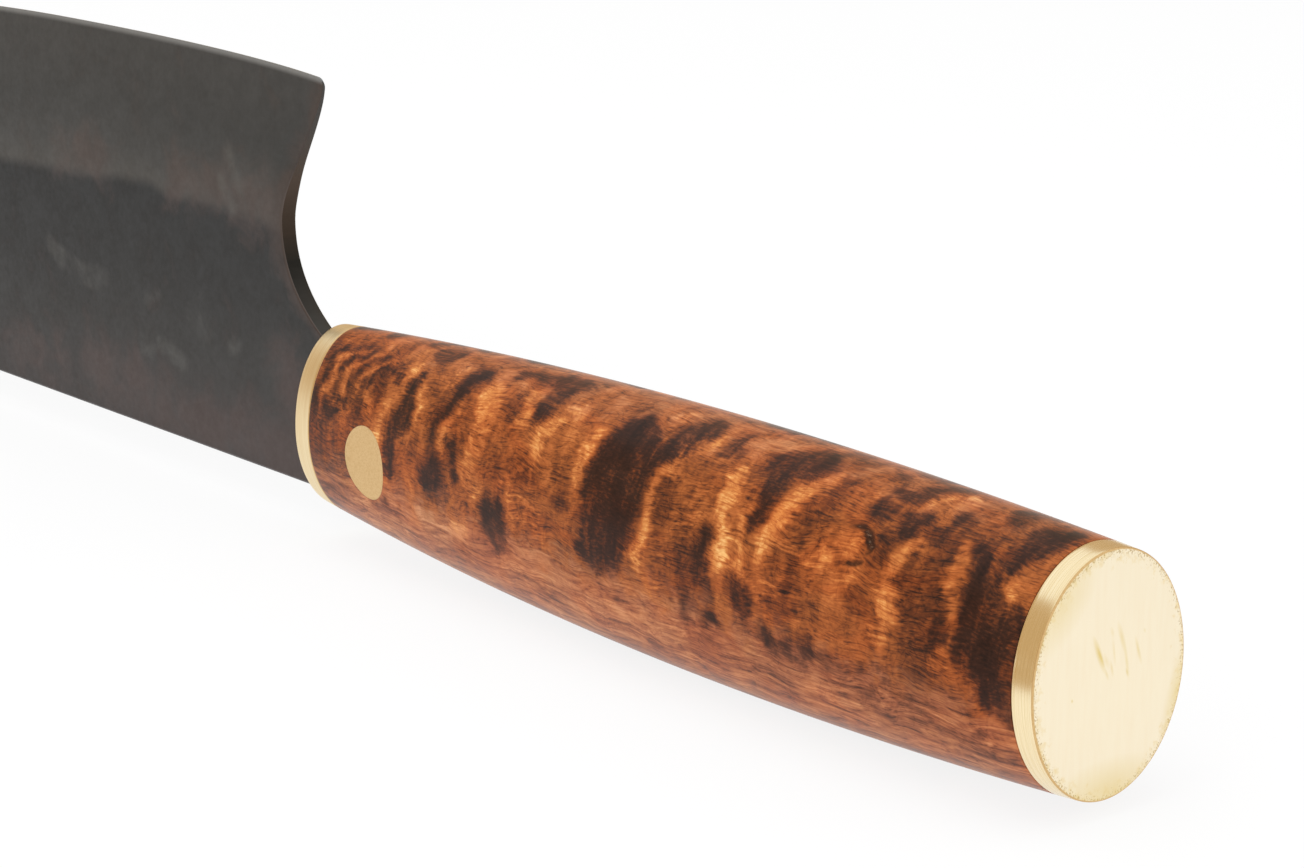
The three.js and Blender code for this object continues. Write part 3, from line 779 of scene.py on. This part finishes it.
# Plates
plateShape = {
    "rings": 5, "edgeBreak": 0.15, "tangClearance": 0.1, "slotPast": 1, "sharpAngle": 50,
    # how far faces turn along the handle that count as flat, and as the broken edge
    "flatFacing": 0.98, "edgeFacing": 0.2,
}
lappedWithHighlight = satinBrass("lappedWithHighlight")
brushed = satinBrass("brushed")
rubbed = satinBrass("rubbed")
sandedWithShade = satinBrass("sandedWithShade")


def brassPlate(name, startX, endX, rimFinish, faceFinish, replaced):
    shape = ovalBarrel(startX, endX, plateShape["rings"], plateShape["edgeBreak"] * mm)
    shape.normal_update()
    # rim, flat faces and the broken edges between them, which carry the deeper sanded brass as painted shade
    for face in shape.faces:
        facing = abs(face.normal.x)
        if facing > plateShape["flatFacing"]:
            face.material_index = 1
        elif facing > plateShape["edgeFacing"]:
            face.material_index = 2
    finishes = [rimFinish, faceFinish, sandedWithShade]
    return finishPiece(name, shape, finishes, replaced, plateShape["sharpAngle"])


frontPlate = brassPlate("frontPlate", plateFace, woodStart, rubbed, sandedWithShade, "front_plate")
endPlate = brassPlate("endPlate", woodEnd, buttFace, brushed, lappedWithHighlight, "end_plate")
cutAway(endPlate, dowelHoles(loose), plateShape["sharpAngle"])

# Pin, sanded flush with the barrel on both sides
pinShape = {"sides": 96, "rings": 8}


def flushPin():
    shape = bmesh.new()
    bmesh.ops.create_circle(shape, cap_ends=True, segments=pinShape["sides"], radius=pinRadius)
    for _ in range(pinShape["rings"]):
        cap = max(shape.faces, key=lambda f: len(f.verts))
        bmesh.ops.inset_region(shape, faces=[cap], thickness=pinRadius / (pinShape["rings"] + 1))
    bmesh.ops.rotate(shape, verts=shape.verts, matrix=Matrix.Rotation(math.pi / 2, 3, "X"))
    bmesh.ops.translate(shape, verts=shape.verts, vec=(pinCentre.x, 0, pinCentre.z))
    near = list(shape.verts)
    far = farSide(shape)
    for verts, side in ((near, -1), (far, 1)):
        for vert in verts:
            lift = vert.co.z - axisHeight
            lift /= barrelSize("rise" if lift > 0 else "drop", vert.co.x)
            vert.co.y = side * barrelSize("width", vert.co.x) / 2 * math.sqrt(1 - lift * lift)
    for face in shape.faces:
        face.smooth = True
    return finishPiece("brassPin", shape, [sandedWithShade], "handle_pin")


flushPin()

# Blade: ahead of the front plate's face and up from the handle axis (mm), edge upwards
bladeForm = {
    "length": 170, "edgeRise": 39.1, "crownAhead": 58, "heelRise": 37.3, "heelEase": 15, "edgeEase": 125,
    "spineDrop": 8.5, "spineStraight": 108, "spineEase": 42, "tipRise": 28, "noseFall": 18, "noseLean": 6,
    "tipHeight": 1, "heelAhead": 2.4, "heelCornerEase": 3.8, "choilDepth": 10.2, "choilRise": 20.7,
    "choilEaseUp": 4.7, "choilEaseDown": 8.6, "neckRise": 7.6, "neckEase": 1.1,
    "thickness": 2, "tipThickness": 0.8, "taperStart": 0.6, "bevelWidth": 19.1, "bevelCurve": 1.7,
    "edgeThickness": 0.2, "spineEasing": 0.22,
    # the heel's rounding, and how many radii back and up from its centre points are still drawn in
    "heelRadius": 1.1, "heelPast": (1.02, 1.3),
    # the hollow's wall thins towards its top: mm up, mm in from the hollow, share that goes
    "thinFrom": 23, "thinTo": 29, "thinReach": 2.5, "thinShare": 0.3, "arrisHighlightFade": 0.35,
    # mm in from the hollow, share off each side
    "choilEasing": [(0, 0.13), (0.06, 0.06), (0.15, 0.02), (0.3, 0)],
    "columns": 220, "columnCrowding": 1.25, "rows": 66, "firstRow": 0.005, "rowCrowding": 1.4,
    "tangHeight": 12, "tangLevelTo": 21.3, "tangEnd": 78.6, "tangEndHeight": 7, "onFace": 0.001,
    "pinHole": 0.3, "pinHoleSides": 48,
}


def curveRail(controls, steps=120):
    rail = []
    for i in range(steps + 1):
        points = [Vector(c) for c in controls]
        while len(points) > 1:
            points = [a.lerp(b, i / steps) for a, b in zip(points, points[1:])]
        rail.append(points[0])
    return rail


def spacedAlong(rail, shares):
    # points of a rail at shares of its length
    lengths = [0.0]
    for a, b in zip(rail, rail[1:]):
        lengths.append(lengths[-1] + (b - a).length)
    found = []
    step = 0
    for share in shares:
        wanted = share * lengths[-1]
        while step < len(rail) - 2 and lengths[step + 1] < wanted:
            step += 1
        run = lengths[step + 1] - lengths[step]
        found.append(rail[step].lerp(rail[step + 1], (wanted - lengths[step]) / run))
    return found


def roundedHeel(point, heel):
    # draws the square corner at the heel in to a quarter round
    radius = bladeForm["heelRadius"]
    mostAhead, mostBelow = bladeForm["heelPast"]
    ahead = 1 - (point.x - heel.x) / radius
    below = 1 - (heel.y - point.y) / radius
    if not (0 < ahead <= mostAhead and 0 < below <= mostBelow):
        return point
    below = min(below, 1)
    ahead = min(ahead, 1)
    inAhead = ahead * math.sqrt(1 - below * below / 2)
    inBelow = below * math.sqrt(1 - ahead * ahead / 2)
    return point + Vector(((ahead - inAhead) * radius, (inBelow - below) * radius))


def forgedBlade():
    use = bladeForm
    tipAhead = use["heelAhead"] + use["length"]
    # the outline: spine, edge, and the back with its finger hollow
    spineUp = -use["spineDrop"]
    spineRail = [Vector((0, spineUp))] + curveRail([
        (use["spineStraight"], spineUp), (use["spineStraight"] + use["spineEase"], spineUp),
        (tipAhead - use["noseLean"], use["tipRise"] - use["noseFall"]),
        (tipAhead, use["tipRise"] - use["tipHeight"])])
    crown = (use["crownAhead"], use["edgeRise"])
    edgeRail = curveRail([(0, use["heelRise"]), (use["heelEase"], use["edgeRise"]), crown])
    edgeRail += curveRail([crown, (use["edgeEase"], use["edgeRise"]), (tipAhead, use["tipRise"])])[1:]
    edgeRail = [p for p in edgeRail if p.x >= use["heelAhead"]]
    heel = edgeRail[0]
    deepest = (use["choilDepth"], use["choilRise"])
    hollow = [heel] + curveRail([
        (use["heelAhead"], use["heelRise"]), (use["heelAhead"], use["heelRise"] - use["heelCornerEase"]),
        (use["choilDepth"], use["choilRise"] + use["choilEaseUp"]), deepest])
    hollow += curveRail([
        deepest, (use["choilDepth"], use["choilRise"] - use["choilEaseDown"]),
        (use["neckEase"], use["neckRise"] + use["neckEase"]), (0, use["neckRise"])])[1:]
    backRail = [Vector((0, spineUp))] + hollow[::-1]
    columns = use["columns"]
    rows = use["rows"]
    eased = [inset / tipAhead for inset, _ in use["choilEasing"]]
    plain = columns - len(eased) + 1
    columnShares = eased + [
        eased[-1] + (1 - eased[-1]) * (i / plain) ** use["columnCrowding"] for i in range(1, plain + 1)]
    rowShares = [0, use["firstRow"]] + [
        1 - (1 - j / (rows - 1)) ** use["rowCrowding"] for j in range(1, rows)]
    spine = spacedAlong(spineRail, columnShares)
    edge = spacedAlong(edgeRail, columnShares)
    back = spacedAlong(backRail, rowShares)
    nose = [spine[-1].lerp(edge[-1], s) for s in rowShares]
    tangMiddle = -pinBelowAxis
    shoulder = [p for p in back if p.x < use["onFace"]]
    for end in (tangMiddle - use["tangHeight"] / 2, tangMiddle + use["tangHeight"] / 2):
        nearest = min(shoulder, key=lambda p: abs(p.y - end))
        nearest.y = end

    shape = bmesh.new()
    fromEdge = shape.verts.layers.float.new("fromEdge")
    fromHollow = shape.verts.layers.float.new("fromHollow")
    pastLine = shape.verts.layers.float.new("pastLine")
    half = shape.verts.layers.float.new("half")
    column = shape.verts.layers.int.new("column")
    bmesh.ops.create_grid(shape, x_segments=columns, y_segments=rows, size=1)
    for vert in shape.verts:
        i = round((vert.co.x + 1) / 2 * columns)
        j = round((vert.co.y + 1) / 2 * rows)
        u = columnShares[i]
        v = rowShares[j]
        # a sheet stretched between spine, edge, back and nose
        flat = spine[i].lerp(edge[i], v) + back[j].lerp(nose[j], u)
        flat -= spine[0].lerp(edge[0], v).lerp(spine[-1].lerp(edge[-1], v), u)
        flat = roundedHeel(flat, heel)
        vert[fromEdge] = (edge[i] - flat).length
        vert[fromHollow] = (flat - back[j]).length if flat.y > use["neckRise"] else use["length"]
        vert[pastLine] = vert[fromEdge] - np.interp(flat.x, *zip(*steelFinish["line"]))
        vert[column] = i
        bevel = use["bevelWidth"] * (edge[i] - spine[i]).length / (edge[0] - spine[0]).length
        ground = min(1, vert[fromEdge] / bevel)
        taper = max(0, (u - use["taperStart"]) / (1 - use["taperStart"]))
        body = (use["thickness"] + (use["tipThickness"] - use["thickness"]) * taper) / 2
        sharp = use["edgeThickness"] / 2
        vert[half] = sharp + (body - sharp) * (1 - (1 - ground) ** use["bevelCurve"])
        if j == 0:
            vert[half] -= use["spineEasing"] * body
        if i < len(eased) and flat.y > use["neckRise"]:
            vert[half] *= 1 - use["choilEasing"][i][1]
        # the faces lean in to a thin wall at the top of the hollow
        up = min(1, max(0, (flat.y - use["thinFrom"]) / (use["thinTo"] - use["thinFrom"])))
        up *= up * (3 - 2 * up)
        lean = use["thinShare"] * up * math.exp(-(vert[fromHollow] / use["thinReach"]) ** 2)
        vert[half] += (sharp - vert[half]) * lean
        # this pushes the painted arris highlight off the top of the hollow
        vert[fromHollow] += use["arrisHighlightFade"] * up
        vert.co = (plateFace - flat.x * mm, 0, axisHeight + flat.y * mm)
    near = list(shape.verts)
    far = farSide(shape)
    for verts, side in ((near, -1), (far, 1)):
        for vert in verts:
            vert.co.y = side * vert[half] * mm
    wall = [f for f in shape.faces if all(v[column] == 0 for v in f.verts)]
    for face in wall:
        if face.calc_center_median().z > axisHeight + use["neckRise"] * mm:
            face.material_index = 1
    # the tang grows out of the shoulder, level past the pin and then tapering
    tangCentre = axisHeight + tangMiddle * mm
    root = [f for f in wall if abs(f.calc_center_median().z - tangCentre) < use["tangHeight"] / 2 * mm]
    level = use["tangHeight"]
    for end, height in ((use["tangLevelTo"], use["tangHeight"]), (use["tangEnd"], use["tangEndHeight"])):
        grown = bmesh.ops.extrude_face_region(shape, geom=root)["geom"]
        root = [f for f in grown if isinstance(f, bmesh.types.BMFace)]
        for vert in [v for v in grown if isinstance(v, bmesh.types.BMVert)]:
            vert.co.x = plateFace + end * mm
            vert.co.z = tangCentre + (vert.co.z - tangCentre) * height / level
        level = height
    shape.verts.layers.float.remove(half)
    shape.verts.layers.int.remove(shape.verts.layers.int["column"])
    for face in shape.faces:
        face.smooth = True
    openEdges = [e for e in shape.edges if len(e.link_faces) != 2]
    print("blade: open edges", len(openEdges))
    return finishPiece("forgedBlade", shape, [blackenedSteel(), filedChoil()], "blade")


blade = forgedBlade()
holes = bmesh.new()
addRod(holes, pinCentre - past, pinCentre + past, pinRadius + bladeForm["pinHole"] * mm,
       bladeForm["pinHoleSides"])
cutAway(blade, holes)
bladeX, bladeY, bladeZ = vertexPlaces(blade)
run = (plateFace - bladeX) / mm
run = np.where(bladeY > 0, steelFinish["turnAbout"] - run, run)
for name, marks in (("smudge", smudgeMarks), ("rust", rustMarks)):
    storeOnVertices(blade, name, depthInMarks(run, (bladeZ - axisHeight) / mm, marks))
tangRoom = Vector((plateShape["slotPast"], plateShape["tangClearance"], plateShape["tangClearance"])) * mm
tangReach = Vector((0, bladeForm["thickness"] / 2 * mm, bladeForm["tangHeight"] / 2 * mm))
holes = bmesh.new()
addBox(holes, Vector((plateFace, 0, pinCentre.z)) - tangReach - tangRoom,
       Vector((woodStart, 0, pinCentre.z)) + tangReach + tangRoom)
cutAway(frontPlate, holes, plateShape["sharpAngle"])

# CAD pieces that stay, all inside the handle
for node, finish in (("tang_bedding", amberResin()), ("end_plate_dowel_upper", brushed),
                     ("end_plate_dowel_lower", brushed)):
    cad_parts[node].data.materials.clear()
    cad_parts[node].data.materials.append(finish)

# Stage: white paper floor that keeps a faint shadow, white surround, soft lamps
stageLight = {"floorReach": 3, "paper": "#f4f4f4", "shadowShare": 0.15, "surround": 0.85}


def seenDirectly(tree):
    # camera, mirror and glass rays see plain white
    path = tree.nodes.new("ShaderNodeLightPath").outputs
    seen = path["Is Camera Ray"]
    for ray in ("Is Glossy Ray", "Is Transmission Ray"):
        seen = addNode(tree, "ShaderNodeMath", {0: seen, 1: path[ray]}, operation="MAXIMUM")
    return seen


def paperFloor():
    finish, tree, skin = newFinish("whiteStudioPaper")
    tree.nodes.remove(skin)
    paper = addNode(tree, "ShaderNodeBsdfDiffuse", {"Color": linear(stageLight["paper"])})
    white = addNode(tree, "ShaderNodeEmission", {"Strength": 1})
    share = addNode(tree, "ShaderNodeMath", {0: seenDirectly(tree), 1: 1 - stageLight["shadowShare"]},
                    operation="MULTIPLY")
    mixed = addNode(tree, "ShaderNodeMixShader", {"Fac": share, 1: paper, 2: white})
    tree.links.new(mixed, tree.nodes["Material Output"].inputs["Surface"])
    shape = bmesh.new()
    bmesh.ops.create_grid(shape, x_segments=1, y_segments=1, size=stageLight["floorReach"])
    floor = newObject("paperFloor", shape)
    floor.data.materials.append(finish)


paperFloor()
world = bpy.data.worlds.new("whiteSurround")
bpy.context.scene.world = world
world.use_nodes = True
tree = world.node_tree
soft = addNode(tree, "ShaderNodeBackground", {"Color": (1, 1, 1, 1), "Strength": stageLight["surround"]})
white = addNode(tree, "ShaderNodeBackground", {"Color": (1, 1, 1, 1), "Strength": 1})
mixed = addNode(tree, "ShaderNodeMixShader", {"Fac": seenDirectly(tree), 1: soft, 2: white})
tree.links.new(mixed, tree.nodes["World Output"].inputs["Surface"])

# Flags, two standing and one lying beside the butt: they are seen in reflections only
# and give the metal its darker bands
flags = {
    "tone": "#c9b08e",
    # middle and size of the cloth in mm, its tilt up from the floor and its turn about the upright,
    # both in degrees
    "cloths": [((-370, -560, 335), (1300, 670), 90, -33.5), ((-370, 560, 335), (1300, 670), 90, 33.5),
               ((77, -349, 0.5), (500, 400), 0, 47.7)],
}


def hangFlag(middle, size, tilt, turn):
    finish, tree, skin = newFinish("greyFlagCloth")
    tree.nodes.remove(skin)
    cloth = addNode(tree, "ShaderNodeEmission", {"Color": linear(flags["tone"]), "Strength": 1})
    tree.links.new(cloth, tree.nodes["Material Output"].inputs["Surface"])
    shape = bmesh.new()
    bmesh.ops.create_grid(shape, x_segments=1, y_segments=1, size=0.5)
    lean = Matrix.Rotation(math.radians(turn), 4, "Z") @ Matrix.Rotation(math.radians(tilt), 4, "X")
    spread = Matrix.Diagonal((size[0] * mm, size[1] * mm, 1, 1))
    stand = Matrix.Translation(Vector(middle) * mm) @ lean @ spread
    bmesh.ops.transform(shape, verts=shape.verts, matrix=stand)
    flag = newObject("greyFlag", shape)
    flag.data.materials.append(finish)
    flag.visible_camera = False
    flag.visible_diffuse = False
    flag.visible_transmission = False
    flag.visible_shadow = False


for cloth in flags["cloths"]:
    hangFlag(*cloth)

# lamps: where they hang, what they look at (mm), their size (mm) and their power (W)
lamps = {
    "overheadSoftbox": {"place": (-50, -150, 750), "aim": (0, 0, 20), "size": (900, 700), "power": 2.6},
    "frontFill": {"place": (300, -700, 350), "aim": (0, 0, 20), "size": (700, 500), "power": 1.2},
}
for name, lamp in lamps.items():
    light = bpy.data.lights.new(name, "AREA")
    light.shape = "RECTANGLE"
    light.size, light.size_y = (s * mm for s in lamp["size"])
    light.energy = lamp["power"]
    holder = bpy.data.objects.new(name, light)
    place = Vector(lamp["place"]) * mm
    turn = (Vector(lamp["aim"]) * mm - place).to_track_quat("-Z", "Y").to_matrix().to_4x4()
    holder.matrix_world = Matrix.Translation(place) @ turn
    holder.visible_camera = False
    holder.visible_glossy = False
    bpy.context.scene.collection.objects.link(holder)
print("stage: floor, surround and", len(lamps), "lamps")

bpy.context.scene.view_settings.view_transform = "Standard"
